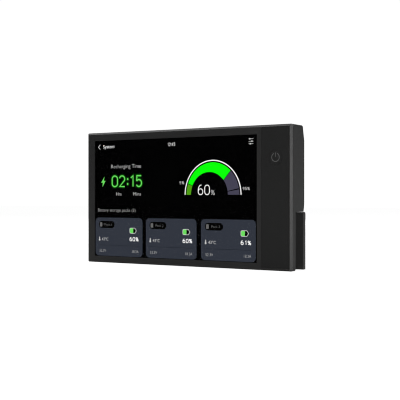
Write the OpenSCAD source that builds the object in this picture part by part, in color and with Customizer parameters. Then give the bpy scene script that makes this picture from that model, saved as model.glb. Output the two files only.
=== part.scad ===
// Touch-screen control console of a home battery system, standing on its own base.
// Thin wide front slab with a flush display and a side strip, a deeper rear housing,
// a cable bay in its lower half and a full-width plate that folds out as a stand.
// X runs to the viewer's right, Y runs back from the front face, +Z is up.

/* [Body] */
// Width over both sides
body_w = 214.5; // [196:0.5:260]
// Height over the base
body_h = 122.0; // [119:0.1:150]
// Depth over everything, from the front face to the back of the stand
body_d = 26.8; // [26.2:0.1:34]
// Depth of the front frame, up to the parting seam
frame_t = 3.9; // [3.4:0.1:4.6]
// Depth of the thin slab beside the lower block
slab_t = 7.2; // [6.9:0.1:8.4]
// Chamfer around the front face
rim_chamfer = 1.8; // [0.6:0.1:2]
// Radius of the four corners, seen from the front
corner_r = 1.5; // [0.6:0.1:3]
// Wall of the frame and the housing
wall = 2.0; // [1.6:0.1:2.4]

/* [Rear housing] */
// Radius of the upright rear edges
rear_edge_r = 0.5; // [0.3:0.1:3]
// How far the rear face lies in front of the back of the stand
rear_step = 2.1; // [1.8:0.1:3]
// How much shallower the housing is at its top edge
top_taper_d = 3.65; // [1:0.1:5]
// Height of the top taper
top_taper_h = 14.7; // [8:0.5:18]
// Height of the ledge above the stand
ledge_z = 49.1; // [48.9:0.1:56]
// How far the lower edge of the rear face curves in
ledge_taper_d = 1.9; // [0.8:0.1:2.4]
// Height of that curve
ledge_taper_h = 12.9; // [8:0.5:14]
// How far the lower block is set in from each side
block_inset = 6.0; // [2.6:0.1:8]
// Height of the underside of the block, which its rubber pads fill
block_lift = 0.3; // [0.2:0.1:1.2]

/* [Display] */
// Width of the lit area
screen_w = 172.2; // [150:0.1:174]
// Height of the lit area
screen_h = 107.6; // [90:0.1:108]
// Lit area's distance from the left side
screen_left = 9.45; // [9.3:0.05:14]
// Lit area's distance from the bottom
screen_bottom = 6.35; // [6.2:0.05:8]
// Black border of the glass around the lit area
glass_border = 0.2; // [0.1:0.05:1]
// Gap around the glass
glass_gap = 0.15; // [0.1:0.05:0.3]
// Thickness of the cover glass
glass_t = 0.7; // [0.5:0.1:1]
// How far the glass lies below the face
glass_recess = 0.1; // [0:0.05:0.2]
// Thickness of the touch film behind the glass
film_t = 0.15; // [0.1:0.05:0.25]
// Thickness of the display cell's rear sheet
cell_t = 1.6; // [1.2:0.1:1.8]
// Thickness of the light guide
guide_t = 2.0; // [1.4:0.1:2.2]
// Metal of the display's back plate
tray_t = 0.4; // [0.3:0.05:0.5]
// How far the back plate reaches past the lit area
tray_border = 3.0; // [2.6:0.1:3.2]

/* [Side strip and button] */
// Width of the side strip
strip_w = 25.6; // [20:0.1:26]
// Strip's distance from the right side
strip_side = 2.8; // [2.4:0.1:3]
// Strip's distance from the top and from the bottom
strip_end = 2.2; // [2:0.1:4]
// Thickness of the strip
strip_t = 1.5; // [1.2:0.1:1.8]
// Gap around the strip
strip_gap = 0.15; // [0.1:0.05:0.3]
// Radius of the button cap
button_r = 6.0; // [5:0.1:8]
// Gap around the button cap
button_gap = 0.15; // [0.1:0.05:0.3]
// Button's distance from the right side
button_side = 15.0; // [14:0.1:18]
// Button's height above the base
button_z = 94.5; // [70:0.5:100]
// How far the button moves in
button_travel = 0.4; // [0.2:0.05:0.5]
// Radius of the power icon's ring
icon_r = 3.5; // [2.5:0.1:4.5]
// Stroke of the power icon
icon_stroke = 0.75; // [0.4:0.05:1]

/* [Stand] */
// Thickness of the stand plate
stand_t = 4.4; // [4.2:0.1:5]
// Height of the hinge axis
hinge_z = 46.7; // [40:0.1:46.7]
// Distance of each hinge from the middle
hinge_x = 62.0; // [56:1:80]
// Width of a hinge knuckle on the housing
knuckle_w = 14.0; // [10:0.5:20]
// Radius of the hinge pin
pin_r = 1.0; // [0.8:0.05:1.1]
// Running clearance between pin and bush, on the radius
pin_clearance = 0.05; // [0.02:0.01:0.09]
// Wall of the hinge bush
bush_t = 0.45; // [0.3:0.05:0.5]
// Length of pin held in the stand on each side of a knuckle
pin_grip = 9.0; // [5:0.5:12]
// Gap between the stand and the block in front of it
stand_gap = 0.4; // [0.3:0.05:0.8]
// Width of the cable notch in the stand
notch_w = 44.0; // [24:1:70]
// Height of the cable notch
notch_h = 16.0; // [8:0.5:24]

/* [Cable bay and mounts] */
// Width of the cable bay
bay_w = 90.0; // [60:1:96]
// Height of the bay's ceiling
bay_h = 36.0; // [28:0.5:37]
// Depth at which the bay starts
bay_front = 8.8; // [8.6:0.1:10]
// Distance between the two sockets' centres
socket_pitch = 34.0; // [22:1:60]
// Spacing of the four threaded mounts across
mount_x = 75.0; // [60:1:100]
// Spacing of the four threaded mounts up
mount_z = 35.0; // [30:1:36]
// Radius of the threaded mounts
mount_r = 2.0; // [1.5:0.1:2.5]

/* [Hidden] */
$fn = 64;

half_w = body_w / 2;
slack = 0.01;
over = 1;

// depths, back from the front face
rear_d = body_d - rear_step;
hinge_d = body_d - stand_t / 2;
block_d = body_d - stand_t - stand_gap;
glass_back = glass_recess + glass_t;
film_back = glass_back + film_t;
picture_d = film_back + 0.05;
front_wall = 2.0;
cell_back = front_wall + cell_t;
guide_back = cell_back + guide_t;
tray_back = guide_back + tray_t;
tray_gap = 0.3;
slab_inner = tray_back + 0.2;
strip_floor = strip_t + 1.5;

// the lip that centres the housing on the frame, and its hooks
lip_gap = 0.1;
lip_reach = 1.1;
lip_d = frame_t + lip_reach;
lip_t = screen_bottom - tray_border - wall - lip_gap - 0.25;
hook_w = 10.0;
hook_h = 0.7;
hook_pitch = 70.0;
hook_gap = 0.15;

// the display, seen from the front
screen_x = screen_left + screen_w / 2 - half_w;
screen_z = screen_bottom + screen_h / 2;
glass_w = screen_w + 2 * glass_border;
glass_h = screen_h + 2 * glass_border;
tray_w = screen_w + 2 * tray_border;
tray_h = screen_h + 2 * tray_border;
gasket_w = 2.0;
gasket_t = 0.5;
gasket_edge = 0.4;
gasket_gap = 0.1;
cell_w = tray_w - 2 * tray_t;
cell_h = tray_h - 2 * tray_t;

// the strip and its button
strip_x = half_w - strip_side - strip_w / 2;
strip_h = body_h - 2 * strip_end;
button_x = half_w - button_side;
flange_r = button_r + 1.2;
flange_t = 0.75;
flange_gap = 0.1;
flange_d = strip_t + flange_gap;
flange_room = 0.4;
stem_r = 2.0;
switch_w = 6.0;
switch_d = strip_floor + 1.0;
switch_t = 1.6;
plunger_r = 1.6;
plunger_reach = 0.6;
plunger_d = switch_d - plunger_reach;
plunger_end = switch_d + plunger_reach;
lamp_w = 1.6;
lamp_h = 1.0;
lamp_t = 0.7;
lamp_z = switch_w / 2 + 2.2;
icon_t = 0.5;
icon_opening = 2.6;
icon_bar = 3.4;
post_r = 1.3;
post_x = 5.0;
post_z = flange_r + flange_room + post_r + 0.9;
board_t = 1.0;
button_board_w = 2 * (post_x + post_r + 0.7);
button_board_h = 2 * (post_z + post_r + 0.9);
button_board_d = switch_d + switch_t;

// the lower block, the bay and the sockets
block_w = body_w - 2 * block_inset;
bay_wall = 1.5;
block_back_wall = 1.6;
socket_w = 16.0;
socket_d = block_d - block_back_wall - 0.1 - bay_front;
socket_l = 18.0;
socket_wall = 1.2;
socket_mouth_w = 11.7;
socket_mouth_d = 7.4;
socket_reach = 13.0;
socket_fit = 0.15;
latch_w = 6.0;
latch_d = 1.4;
latch_reach = 6.0;
contact_w = 0.4;
contact_t = 0.3;
contact_l = 7.0;
contact_tilt = 14;
contact_pitch = 1.02;
foot_w = 30.0;
foot_d = 8.0;
foot_sink = 0.6;
foot_gap = 0.1;
foot_x = 75.0;
foot_middle_d = (slab_t + block_d) / 2;
magnet_r = 4.0;
magnet_t = 1.2;
magnet_sink = 0.05;
magnet_z = 10.0;
magnet_x = half_w - 21.25;

// the main board and what stands on it
pcb_t = 1.6;
pcb_back = bay_front;
pcb_d = pcb_back - pcb_t;
pcb_w = body_w - 38.5;
pcb_z0 = bay_h + wall + 2;
pcb_z1 = body_h - 8.7;
chip_w = 4.0;
chip_t = 2.4;
chip_z = pcb_z0 + 10;
coil_r = 3.0;
coil_t = 6.0;
connector_h = 4.0;
connector_t = 2.0;
connector_z = pcb_z1 - connector_h;
ribbon_t = 0.25;
ribbon_z = screen_z + tray_h / 2 - 12;
ribbon_top = pcb_z1 + 1.2;
display_ribbon_x = -20.0;
display_ribbon_w = 20.0;
touch_ribbon_x = 20.0;
touch_ribbon_w = 10.0;
button_ribbon_h = 5.0;
button_ribbon_z = button_z - button_board_h / 2;
button_connector_h = 12.0;
cell_x = -60.0;
cell_r = 6.25;
coin_t = 2.0;
holder_floor = 0.8;
holder_t = 3.0;
holder_r = cell_r + 1.35;
aerial_t = 0.5;
standoff_x = pcb_w / 2 - 8;
standoff_r = 2.5;
standoff_z = [ledge_z + ledge_taper_h + standoff_r, body_h - top_taper_h - standoff_r];
board_screw_r = 1.25;
board_screw_gap = 0.15;
board_screw_l = 5.0;
board_head_r = 2.2;
board_head_t = 0.8;
flat_z0 = ledge_z + ledge_taper_h;
flat_z1 = body_h - top_taper_h;
mount_centre_z = (flat_z0 + flat_z1) / 2 - 1.05;
cell_z = mount_centre_z - 5.6;
shield_w = 36.0;
shield_h = 30.0;
shield_t = 2.6;
shield_skin = 0.4;
spreader_w = 46.0;
spreader_h = 34.0;
spreader_t = 1.2;
fin_t = 1.0;
fin_h = 3.2;
fin_pitch = 4.2;
insert_wall = 0.8;
insert_l = 7.0;
insert_sink = 0.1;
boss_r = mount_r + insert_wall + 2;
label_w = 60.0;
label_h = 26.0;
label_sink = 0.3;
label_t = 0.2;
label_gap = 0.3;
speaker_x = standoff_x - 6;
speaker_w = 24.0;
speaker_h = 17.0;
speaker_t = 4.5;
speaker_z = standoff_z[0] + standoff_r + speaker_h / 2 + 0.5;
cone_r = 7.0;
sound_hole_r = 0.8;
sound_pitch = 3.0;
slot_w = 1.8;
slot_h = 14.0;
slot_pitch = 4.6;
slot_x = 72.0;
slot_z = flat_z1 - slot_h / 2 - 6;

// screws that hold the case, each in a deep recess
boss_clear = 0.15;
frame_boss_r = (screen_left - tray_border - wall - lip_gap - boss_clear) / 2;
case_screw_x = half_w - wall - lip_gap - frame_boss_r;
case_screw_z = [flat_z0 + 4, flat_z1 - 4];
case_screw_d = front_wall + 1;
case_screw_r = 1.0;
case_hole_r = 1.15;
case_head_r = 1.9;
case_head_t = 1.6;
case_seat_d = 10.0;
case_recess_r = 2.2;
column_r = 3.4;

// the hinge
knuckle_r = stand_t / 2 - 0.1;
bush_r = pin_r + pin_clearance + bush_t;
knuckle_gap = 0.3;
notch_clear = 0.4;
pin_half = knuckle_w / 2 + knuckle_gap + pin_grip;
stand_bottom = 0.2;
stand_foot_drop = 0.15;
stand_foot_t = 1.4;
stand_foot_x0 = notch_w / 2 + 8;
stand_foot_x1 = half_w - 6;
stand_foot_w = stand_t - 1.6;
stand_foot_gap = 0.05;
stand_foot_r = 1.0;
notch_r = 4.0;
stand_front = hinge_d - stand_t / 2;
pocket_depth = 1.4;
pocket_x0 = half_w - 80;
pocket_x1 = block_w / 2 - 2;
pocket_z0 = magnet_z + magnet_r + 4;
pocket_z1 = hinge_z - 7;

// ---- shared shapes ----

// Turns the working frame (Y counted back from the front face) into the part's own frame.
module placed() {
    translate([0, -body_d / 2, 0]) children();
}

// Box between two opposite corners.
module block(lo, hi) {
    translate(lo) cube(hi - lo);
}

// Flat rectangle with round corners, centred.
module rounded(w, h, r) {
    square([w - 2 * r, h], center = true);
    square([w, h - 2 * r], center = true);
    for (x = [-1, 1], y = [-1, 1]) translate([x * (w / 2 - r), y * (h / 2 - r)]) circle(r);
}

// Upright rounded plate between two depths, centred on x and z.
module upright(x, z, w, h, r, d0, d1) {
    translate([x, d1, z]) rotate([90, 0, 0]) linear_extrude(d1 - d0) rounded(w, h, r);
}

// Upright plate with square corners.
module panel(x, z, w, h, d0, d1) {
    block([x - w / 2, d0, z - h / 2], [x + w / 2, d1, z + h / 2]);
}

// Outline given as [depth, height], drawn out sideways about the middle.
module across(w) {
    rotate([90, 0, 90]) linear_extrude(w, center = true) children();
}

// Cylinder along the depth.
module rod_y(x, z, r, d0, d1) {
    translate([x, d1, z]) rotate([90, 0, 0]) cylinder(r = r, h = d1 - d0);
}

// Cylinder across the body.
module rod_x(d, z, r, x0, x1) {
    translate([x0, d, z]) rotate([0, 90, 0]) cylinder(r = r, h = x1 - x0);
}

// ---- display ----

// Front slab's outer shape: a rounded outline whose front edges are cut at 45 degrees.
module frame_outside() {
    c = rim_chamfer;
    intersection() {
        upright(0, body_h / 2, body_w, body_h, corner_r, 0, frame_t);
        across(body_w + over) polygon([[0, c], [c, 0], [frame_t + over, 0],
            [frame_t + over, body_h], [c, body_h], [0, body_h - c]]);
        linear_extrude(body_h) polygon([[-half_w, c], [c - half_w, 0], [half_w - c, 0],
            [half_w, c], [half_w, frame_t + over], [-half_w, frame_t + over]]);
    }
}

// Ring that centres the rear housing on the frame, just inside the housing's wall.
module frame_lip() {
    w = body_w - 2 * (wall + lip_gap);
    h = body_h - 2 * (wall + lip_gap);
    difference() {
        upright(0, body_h / 2, w, h, corner_r, frame_t - lip_t, lip_d);
        panel(0, body_h / 2, w - 2 * lip_t, h - 2 * lip_t, frame_t - lip_t - over, lip_d + over);
    }
}

// Hooks along the lip's lower side, or with grow above 0 the slots they snap into.
module snap_hooks(grow) {
    for (x = [-1 : 1])
        block([x * hook_pitch - hook_w / 2 - grow, frame_t + 0.5 - grow, wall - hook_h - grow],
            [x * hook_pitch + hook_w / 2 + grow, lip_d + grow, wall + lip_gap + 0.1]);
}

// Frame around the display and behind the side strip.
module front_frame() color([0.13, 0.13, 0.13]) placed() {
    difference() {
        union() {
            difference() {
                frame_outside();
                panel(screen_x, screen_z, glass_w + 2 * glass_gap, glass_h + 2 * glass_gap,
                    -over, frame_t + over);
                panel(screen_x, screen_z, tray_w + 2 * tray_gap, tray_h + 2 * tray_gap,
                    front_wall, frame_t + over);
                panel(screen_x, screen_z, tray_w - 2 * gasket_edge, tray_h - 2 * gasket_edge,
                    front_wall - gasket_t, front_wall + over);
                panel(strip_x, body_h / 2, strip_w + 2 * strip_gap, strip_h + 2 * strip_gap,
                    -over, strip_t);
                panel(strip_x, body_h / 2, strip_w - 2, strip_h - 4, strip_floor, frame_t + over);
            }
            frame_lip();
            snap_hooks(0);
            for (x = [-1, 1], z = case_screw_z)
                rod_y(x * case_screw_x, z, frame_boss_r, front_wall, lip_d);
            for (x = [-1, 1], z = [-1, 1])
                rod_y(button_x + x * post_x, button_z + z * post_z, post_r, strip_t + 1, button_board_d);
        }
        rod_y(button_x, button_z, flange_r + flange_room, strip_t - over, frame_t + over);
        for (x = [-1, 1], z = case_screw_z)
            rod_y(x * case_screw_x, z, case_screw_r, case_screw_d - 0.4, lip_d + over);
    }
}

// Cover glass, just below the face.
module cover_glass() color([0.02, 0.02, 0.02]) placed()
    panel(screen_x, screen_z, glass_w, glass_h, glass_recess, glass_back);

// Clear touch film on the back of the glass.
module touch_sensor() color([0.1, 0.1, 0.12]) placed()
    panel(screen_x, screen_z, glass_w, glass_h, glass_back, film_back);

// Foam ring in the frame's groove, against the display's border.
module glass_gasket() color([0.05, 0.05, 0.05]) placed() {
    w = tray_w - 2 * (gasket_edge + gasket_gap);
    h = tray_h - 2 * (gasket_edge + gasket_gap);
    difference() {
        panel(screen_x, screen_z, w, h, front_wall - gasket_t, front_wall);
        panel(screen_x, screen_z, w - 2 * gasket_w, h - 2 * gasket_w, 0, front_wall + over);
    }
}

// Display cell: a front sheet that fills the frame's window on a wider rear sheet.
module lcd_panel() color([0.04, 0.04, 0.05]) placed() {
    panel(screen_x, screen_z, glass_w, glass_h, picture_d, front_wall + slack);
    panel(screen_x, screen_z, cell_w, cell_h, front_wall, cell_back);
}

// Light guide behind the cell.
module light_guide() color([0.85, 0.88, 0.9]) placed()
    panel(screen_x, screen_z, cell_w, cell_h, cell_back, guide_back);

// Pressed metal tray around the cell and the light guide.
module lcd_back_plate() color([0.7, 0.7, 0.72]) placed() difference() {
    panel(screen_x, screen_z, tray_w, tray_h, front_wall + 0.1, tray_back);
    panel(screen_x, screen_z, cell_w, cell_h, 0, guide_back);
}

// ---- side strip and power button ----

// Matt strip beside the display, with the hole for the button.
module side_panel() color([0.11, 0.11, 0.11]) placed() difference() {
    panel(strip_x, body_h / 2, strip_w, strip_h, 0, strip_t);
    rod_y(button_x, button_z, button_r + button_gap, -over, strip_t + over);
}

// Power sign: a ring open at the top with a short bar in the opening.
module icon_shape(d0, d1) {
    difference() {
        rod_y(button_x, button_z, icon_r + icon_stroke / 2, d0, d1);
        rod_y(button_x, button_z, icon_r - icon_stroke / 2, d0 - over, d1 + over);
        panel(button_x, button_z + icon_r, icon_opening, icon_r + icon_stroke, d0 - over, d1 + over);
    }
    panel(button_x, button_z + icon_r + icon_stroke / 2 - icon_bar / 2, icon_stroke, icon_bar, d0, d1);
}

// Button cap with the flange that keeps it behind the strip and the stem that presses the switch.
module power_button() color([0.12, 0.12, 0.12]) placed() difference() {
    union() {
        rod_y(button_x, button_z, button_r, 0, flange_d + flange_t);
        rod_y(button_x, button_z, flange_r, flange_d, flange_d + flange_t);
        rod_y(button_x, button_z, stem_r, flange_d, plunger_d);
    }
    icon_shape(-over, icon_t);
}

// Lit sign let into the cap.
module power_icon() color([0.3, 0.3, 0.3]) placed() icon_shape(0, icon_t);

// Plunger of the push switch, which the stem rests on.
module switch_plunger() color([0.1, 0.1, 0.1]) placed()
    rod_y(button_x, button_z, plunger_r, plunger_d, plunger_end);

// Body of the push switch.
module power_switch() color([0.75, 0.75, 0.75]) placed() difference() {
    panel(button_x, button_z, switch_w, switch_w, switch_d, switch_d + switch_t);
    rod_y(button_x, button_z, plunger_r + pin_clearance, switch_d - over,
        plunger_end + button_travel + 0.1);
}

// Small board that carries the switch and its lamp.
module button_board() color([0.05, 0.3, 0.15]) placed()
    panel(button_x, button_z, button_board_w, button_board_h, button_board_d, button_board_d + board_t);

// Lamp behind the sign.
module power_led() color([0.95, 0.95, 0.85]) placed()
    panel(button_x, button_z + lamp_z, lamp_w, lamp_h, button_board_d - lamp_t, button_board_d);

// ---- rear housing ----

// Side outline of the deep upper part, shrunk by t on its rear, top and bottom.
module upper_outline(t) {
    rear = rear_d - t;
    low = ledge_z + t;
    curve_r = (pow(ledge_taper_d, 2) + pow(ledge_taper_h, 2)) / (2 * ledge_taper_d) - t;
    polygon([[frame_t - over, flat_z0], [rear, flat_z0], [rear, flat_z1],
        [rear - top_taper_d, body_h - t], [frame_t - over, body_h - t]]);
    intersection() {
        translate([rear - curve_r, flat_z0]) circle(curve_r, $fn = 128);
        translate([frame_t - over, low]) square([rear, flat_z0 - low]);
    }
}

// Outer shape: the thin slab, the deep upper part and the narrower lower block.
module housing_outside() {
    intersection() {
        union() {
            across(body_w) upper_outline(0);
            upright(0, body_h / 2, body_w, body_h, corner_r, frame_t, slab_t);
        }
        upright(0, body_h / 2, body_w, body_h, corner_r, frame_t, rear_d);
        linear_extrude(body_h) rounded(body_w, 2 * rear_d, rear_edge_r);
    }
    block([-block_w / 2, frame_t + wall, block_lift], [block_w / 2, block_d, ledge_z + over]);
}

// Hollow inside the housing.
module housing_inside() {
    across(body_w - 2 * wall) upper_outline(wall);
    panel(0, body_h / 2, body_w - 2 * wall, body_h - 2 * wall, frame_t - over, slab_inner);
    difference() {
        block([wall - block_w / 2, frame_t, block_lift + wall],
            [block_w / 2 - wall, block_d - block_back_wall, ledge_z + wall + over]);
        block([-bay_w / 2 - wall, bay_front - bay_wall, 0], [bay_w / 2 + wall, rear_d, bay_h + wall]);
    }
}

// Knuckle on the housing that a hinge pin runs through.
module knuckle(x) {
    rod_x(hinge_d, hinge_z, knuckle_r, x - knuckle_w / 2, x + knuckle_w / 2);
    block([x - knuckle_w / 2, block_d - 1, hinge_z - knuckle_r],
        [x + knuckle_w / 2, hinge_d, hinge_z + knuckle_r]);
}

// Upright air slots in the rear wall, on each side of the mounts.
module air_slots() {
    for (side = [-1, 1], i = [-3 : 3])
        upright(side * slot_x + i * slot_pitch, slot_z, slot_w, slot_h, slot_w / 2 - slack,
            rear_d - wall - over, rear_d + over);
}

// Round holes over the speaker, in a ring pattern.
module speaker_holes() {
    rod_y(speaker_x, speaker_z, sound_hole_r, rear_d - wall - over, rear_d + over);
    for (ring = [1, 2], i = [0 : 6 * ring - 1]) {
        a = 60 * i / ring;
        r = sound_pitch * ring;
        rod_y(speaker_x + r * cos(a), speaker_z + r * sin(a), sound_hole_r, rear_d - wall - over,
            rear_d + over);
    }
}

// Places its children at each of the four threaded mounts.
module at_mounts() {
    for (x = [-1, 1], z = [-1, 1])
        translate([x * mount_x / 2, 0, mount_centre_z + z * mount_z / 2]) children();
}

// Rear shell with the cable bay, the hinge knuckles, the mount bosses and the screw columns.
module rear_housing() color([0.14, 0.14, 0.14]) placed() difference() {
    union() {
        difference() {
            housing_outside();
            housing_inside();
        }
        for (x = [-1, 1]) knuckle(x * hinge_x);
        at_mounts() rod_y(0, 0, boss_r, rear_d - insert_l - 1, rear_d - wall / 2);
        for (x = [-1, 1], z = case_screw_z) {
            rod_y(x * case_screw_x, z, frame_boss_r, lip_d, slab_inner + 0.2);
            intersection() {
                rod_y(x * case_screw_x, z, column_r, slab_inner + 0.2, rear_d - wall / 2);
                block([-half_w + wall / 2, 0, 0], [half_w - wall / 2, body_d, body_h]);
            }
        }
    }
    block([-bay_w / 2, bay_front, -over], [bay_w / 2, body_d, bay_h]);
    for (x = [-1, 1])
        block([x * socket_pitch / 2 - socket_w / 2 - socket_fit, bay_front - socket_fit, bay_h - over],
            [x * socket_pitch / 2 + socket_w / 2 + socket_fit, bay_front + socket_d + socket_fit,
                bay_h + wall + over]);
    for (x = [-1, 1])
        rod_x(hinge_d, hinge_z, bush_r, x * hinge_x - knuckle_w / 2 - over,
            x * hinge_x + knuckle_w / 2 + over);
    at_mounts() rod_y(0, 0, mount_r + insert_wall, rear_d - insert_l, rear_d + over);
    for (x = [-1, 1], z = case_screw_z) {
        rod_y(x * case_screw_x, z, case_hole_r, lip_d - over, case_seat_d + over);
        rod_y(x * case_screw_x, z, case_recess_r, case_seat_d, rear_d + over);
    }
    for (x = [-1, 1]) {
        rod_y(x * magnet_x, magnet_z, magnet_r, block_d - magnet_t, block_d + over);
        block([x * foot_x - foot_w / 2, foot_middle_d - foot_d / 2, block_lift - over],
            [x * foot_x + foot_w / 2, foot_middle_d + foot_d / 2, block_lift + foot_sink]);
    }
    panel(0, mount_centre_z, label_w, label_h, rear_d - label_sink, rear_d + over);
    snap_hooks(hook_gap);
    air_slots();
    speaker_holes();
}

// Blank plate for a rating label.
module rating_label() color([0.6, 0.6, 0.6]) placed()
    panel(0, mount_centre_z, label_w - 2 * label_gap, label_h - 2 * label_gap, rear_d - label_sink,
        rear_d - label_sink + label_t);

// Brass inserts that take the mounting screws.
module mount_inserts() color([0.8, 0.65, 0.3]) placed() at_mounts() difference() {
    rod_y(0, 0, mount_r + insert_wall, rear_d - insert_l, rear_d - insert_sink);
    rod_y(0, 0, mount_r, rear_d - insert_l - over, rear_d + over);
}

// Screws that hold the housing to the frame.
module case_screws() color([0.3, 0.3, 0.32]) placed() for (x = [-1, 1], z = case_screw_z) {
    rod_y(x * case_screw_x, z, case_screw_r, case_screw_d, case_seat_d);
    difference() {
        rod_y(x * case_screw_x, z, case_head_r, case_seat_d, case_seat_d + case_head_t);
        translate([x * case_screw_x, case_seat_d + case_head_t + over, z]) rotate([90, 0, 0])
            cylinder(r = 0.9, h = over + 0.9, $fn = 6);
    }
}

// Magnets in the block that hold the stand shut.
module housing_magnets() color([0.75, 0.75, 0.78]) placed() for (x = [-1, 1])
    rod_y(x * magnet_x, magnet_z, magnet_r, block_d - magnet_t, block_d - magnet_sink);

// Rubber pads under the block.
module base_feet() color([0.08, 0.08, 0.08]) placed() for (x = [-1, 1])
    block([x * foot_x - foot_w / 2 + foot_gap, foot_middle_d - foot_d / 2 + foot_gap, 0],
        [x * foot_x + foot_w / 2 - foot_gap, foot_middle_d + foot_d / 2 - foot_gap,
            block_lift + foot_sink]);

// ---- electronics ----

// Main circuit board, upright behind the display.
module main_board() color([0.05, 0.3, 0.15]) placed() difference() {
    block([-pcb_w / 2, pcb_d, pcb_z0], [pcb_w / 2, pcb_back, pcb_z1]);
    for (x = [-1, 1], z = standoff_z)
        rod_y(x * standoff_x, z, board_screw_r + board_screw_gap, pcb_d - over, pcb_back + over);
}

// Chips, coils and connectors on the rear side of the board.
module board_parts() color([0.15, 0.15, 0.17]) placed() {
    for (i = [0 : 5])
        panel(cell_x + 1.5 * chip_w * (i - 1.5), chip_z - 1.5 * chip_w * (i % 2), chip_w, chip_w, pcb_back,
            pcb_back + chip_t);
    for (i = [0 : 3])
        rod_y(mount_x / 2 + coil_r * (3 * i + 2), chip_z, coil_r, pcb_back, pcb_back + coil_t);
    for (r = [[display_ribbon_x, display_ribbon_w], [touch_ribbon_x, touch_ribbon_w]])
        panel(r[0], connector_z, r[1] + 2, connector_h, pcb_back, pcb_back + connector_t);
    panel(pcb_w / 2 - 5, button_ribbon_z + button_ribbon_h / 2, connector_h, button_connector_h, pcb_back,
        pcb_back + connector_t);
}

// Screening can over the processor.
module processor_shield() color([0.78, 0.78, 0.8]) placed() difference() {
    panel(0, mount_centre_z, shield_w, shield_h, pcb_back, pcb_back + shield_t);
    panel(0, mount_centre_z, shield_w - 2 * shield_skin, shield_h - 2 * shield_skin, pcb_back - over,
        pcb_back + shield_t - shield_skin);
}

// Finned plate that takes the processor's heat to the air slots.
module heat_spreader() color([0.6, 0.6, 0.62]) placed() {
    base_d = pcb_back + shield_t;
    panel(0, mount_centre_z, spreader_w, spreader_h, base_d, base_d + spreader_t);
    for (i = [-5 : 5])
        panel(i * fin_pitch, mount_centre_z, fin_t, spreader_h, base_d + spreader_t,
            base_d + spreader_t + fin_h);
}

// Pillars between the board and the rear wall.
module board_standoffs() color([0.8, 0.65, 0.3]) placed() difference() {
    for (x = [-1, 1], z = standoff_z)
        rod_y(x * standoff_x, z, standoff_r, pcb_back, rear_d - wall);
    for (x = [-1, 1], z = standoff_z)
        rod_y(x * standoff_x, z, board_screw_r, pcb_back - over, pcb_back + board_screw_l + 1);
}

// Flat-headed screws through the board.
module board_screws() color([0.7, 0.7, 0.72]) placed() for (x = [-1, 1], z = standoff_z) {
    rod_y(x * standoff_x, z, board_head_r, pcb_d - board_head_t, pcb_d);
    rod_y(x * standoff_x, z, board_screw_r, pcb_d, pcb_back + board_screw_l);
}

// Eight-pole data socket facing down, with the step that its plug's latch snaps into.
module comm_socket(x) {
    front = bay_front + socket_wall;
    difference() {
        block([x - socket_w / 2, bay_front, bay_h], [x + socket_w / 2, bay_front + socket_d,
            bay_h + socket_l]);
        block([x - socket_mouth_w / 2, front, bay_h - over],
            [x + socket_mouth_w / 2, front + socket_mouth_d, bay_h + socket_reach]);
        block([x - latch_w / 2, front, bay_h - over],
            [x + latch_w / 2, front + socket_mouth_d + latch_d, bay_h + latch_reach]);
    }
}

module comm_socket_left() color([0.1, 0.1, 0.1]) placed() comm_socket(-socket_pitch / 2);

module comm_socket_right() color([0.1, 0.1, 0.1]) placed() comm_socket(socket_pitch / 2);

// Sprung contact strips along the front wall of each socket.
module socket_contacts() color([0.9, 0.75, 0.35]) placed()
    for (x = [-1, 1], i = [0 : 7])
        translate([x * socket_pitch / 2 + (i - 3.5) * contact_pitch, bay_front + socket_wall,
                bay_h + socket_reach - 0.1])
            rotate([contact_tilt, 0, 0]) translate([-contact_w / 2, 0, -contact_l])
                cube([contact_w, contact_t, contact_l]);

// Cup that holds the coin cell.
module battery_holder() color([0.1, 0.1, 0.1]) placed() difference() {
    rod_y(cell_x, cell_z, holder_r, pcb_back, pcb_back + holder_t);
    rod_y(cell_x, cell_z, cell_r + 0.05, pcb_back + holder_floor, pcb_back + holder_t + over);
}

// Coin cell for the clock.
module clock_battery() color([0.8, 0.8, 0.82]) placed()
    rod_y(cell_x, cell_z, cell_r, pcb_back + holder_floor, pcb_back + holder_floor + coin_t);

// Flat loudspeaker behind the round holes.
module speaker() color([0.1, 0.1, 0.1]) placed() difference() {
    panel(speaker_x, speaker_z, speaker_w, speaker_h, rear_d - wall - speaker_t, rear_d - wall);
    rod_y(speaker_x, speaker_z, cone_r, rear_d - wall - 1, rear_d - wall + over);
}

// Thin aerial under the top wall.
module radio_antenna() color([0.75, 0.5, 0.25]) placed()
    block([-90, 10, body_h - wall - aerial_t], [-48, 17, body_h - wall]);

// Flat cable from the display's back, over the board's top edge to a connector behind it.
module ribbon(x, w) {
    back = pcb_back + connector_t;
    block([x - w / 2, tray_back, ribbon_z], [x + w / 2, tray_back + ribbon_t, ribbon_top]);
    block([x - w / 2, tray_back, ribbon_top - ribbon_t], [x + w / 2, back + ribbon_t, ribbon_top]);
    block([x - w / 2, back, connector_z], [x + w / 2, back + ribbon_t, ribbon_top]);
}

module display_ribbon() color([0.75, 0.55, 0.25]) placed()
    ribbon(display_ribbon_x, display_ribbon_w);

module touch_ribbon() color([0.75, 0.55, 0.25]) placed()
    ribbon(touch_ribbon_x, touch_ribbon_w);

// Flat cable from the button's board, around the main board's edge.
module button_ribbon() color([0.75, 0.55, 0.25]) placed() {
    side = pcb_w / 2 + 1.2;
    near = button_board_d + board_t;
    back = pcb_back + connector_t;
    z0 = button_ribbon_z;
    z1 = button_ribbon_z + button_ribbon_h;
    block([button_x - post_x, near, z0], [side + ribbon_t, near + ribbon_t, z1]);
    block([side, near, z0], [side + ribbon_t, back + ribbon_t, z1]);
    block([pcb_w / 2 - 7, back, z0], [side + ribbon_t, back + ribbon_t, z1]);
}

// ---- stand ----

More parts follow.
